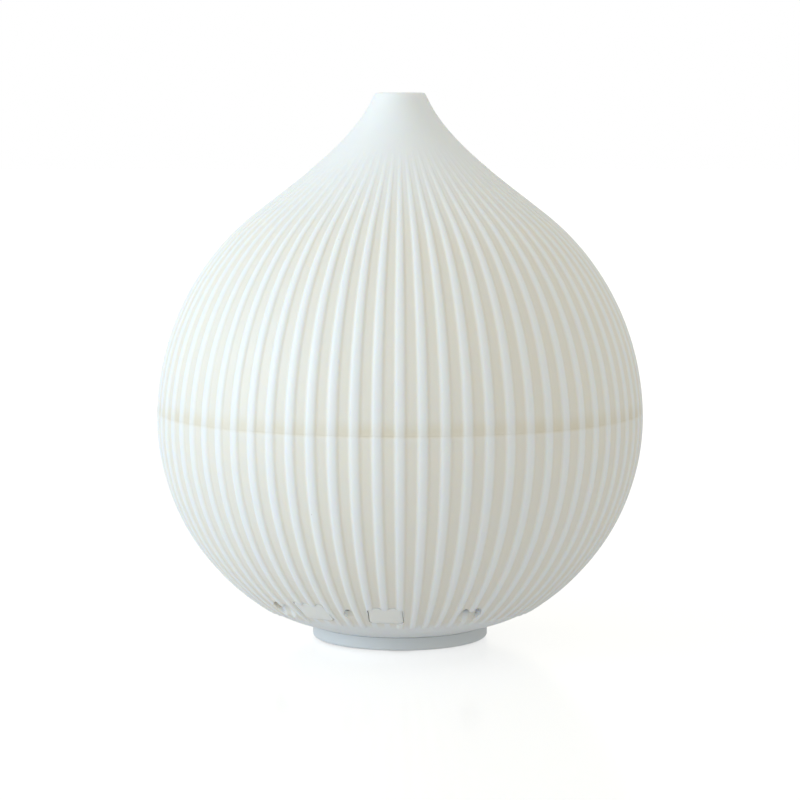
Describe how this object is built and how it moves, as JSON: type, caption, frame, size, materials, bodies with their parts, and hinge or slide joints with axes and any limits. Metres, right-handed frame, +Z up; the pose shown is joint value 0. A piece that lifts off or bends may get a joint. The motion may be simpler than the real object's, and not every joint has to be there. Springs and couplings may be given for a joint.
{
  "type": "cool mist humidifier",
  "caption": "Free-standing ultrasonic cool mist humidifier with a ribbed onion-shaped case, lift-off covers, a water tank, a fan and push buttons.",
  "frame": {"origin": "on the table under the axis, at the lowest point of the rubber feet", "axes": "+Z up along the axis of the case, -Y towards the front where the buttons are, +X to the right seen from the front"},
  "size_m": [0.168, 0.168, 0.1886],
  "materials": {
    "case_white": "translucent satin moulded plastic",
    "foot_grey": "pale cool grey satin plastic",
    "button_white": "white satin plastic",
    "tank_white": "smooth translucent plastic",
    "seal_silicone": "soft milky silicone",
    "foot_rubber": "dark grey non-slip rubber",
    "screw_steel": "zinc plated",
    "board_green": "green printed circuit board",
    "part_black": "black moulded plastic",
    "ferrite_grey": "dull dark ferrite",
    "copper": "enamelled copper wire",
    "aluminium": "plain aluminium",
    "disc_ceramic": "silvered ceramic disc",
    "brass": "turned brass",
    "lens_clear": "clear light guide",
    "led_white": "pale lamp package"
  },
  "bodies": {
    "base": {"lower_shell": "case_white", "base_plate": "foot_grey", "rubber_foot_1": "foot_rubber", "rubber_foot_2": "foot_rubber", "rubber_foot_3": "foot_rubber", "rubber_foot_4": "foot_rubber", "base_screw_1": "screw_steel", "base_screw_2": "screw_steel", "base_screw_3": "screw_steel", "base_screw_4": "screw_steel", "main_board": "board_green", "board_screw_1": "screw_steel", "board_screw_2": "screw_steel", "board_screw_3": "screw_steel", "board_screw_4": "screw_steel", "drive_coil": "ferrite_grey", "capacitor_1": "part_black", "capacitor_2": "part_black", "power_transistor": "part_black", "heat_sink": "aluminium", "water_tank": "tank_white", "tank_gasket": "seal_silicone", "piezo_seal": "seal_silicone", "piezo_disc": "disc_ceramic", "piezo_retainer": "part_black", "retainer_screw_1": "screw_steel", "retainer_screw_2": "screw_steel", "retainer_screw_3": "screw_steel", "fan_frame": "part_black", "fan_bearing": "brass", "fan_stator": "copper", "fan_screw_1": "screw_steel", "fan_screw_2": "screw_steel", "fan_screw_3": "screw_steel", "fan_screw_4": "screw_steel", "led_board": "board_green", "led_1": "led_white", "led_2": "led_white", "led_3": "led_white", "mist_switch": "part_black", "mist_board": "board_green", "mist_board_screw_1": "screw_steel", "mist_board_screw_2": "screw_steel", "light_switch": "part_black", "light_board": "board_green", "light_board_screw_1": "screw_steel", "light_board_screw_2": "screw_steel", "indicator_lens": "lens_clear", "dc_socket": "part_black", "dc_socket_pin": "brass"},
    "tank_cover": {"tank_cover": "tank_white"},
    "top_cover": {"top_cover": "case_white"},
    "fan_rotor": {"fan_impeller": "part_black", "fan_shaft": "screw_steel"},
    "mist_button": {"mist_button": "button_white", "mist_plunger": "part_black"},
    "light_button": {"light_button": "button_white", "light_plunger": "part_black"}
  },
  "joints": [
    {"name": "tank_cover_lift", "type": "slide", "parent": "base", "child": "tank_cover", "axis": [0, 0, 1], "range_m": [0, 0.03]},
    {"name": "top_cover_lift", "type": "slide", "parent": "tank_cover", "child": "top_cover", "axis": [0, 0, 1], "range_m": [0, 0.12]},
    {"name": "fan_spin", "type": "hinge", "parent": "base", "child": "fan_rotor", "pos_m": [0, 0.036, 0.0291], "axis": [0, 0, 1], "continuous": true},
    {"name": "mist_button_press", "type": "slide", "parent": "base", "child": "mist_button", "axis": [0.0542, 0.62, 0.7827], "range_m": [0, 0.0006], "stiffness_N_per_m": 1500},
    {"name": "light_button_press", "type": "slide", "parent": "base", "child": "light_button", "axis": [0.3298, 0.5278, 0.7827], "range_m": [0, 0.0006], "stiffness_N_per_m": 1500}
  ]
}
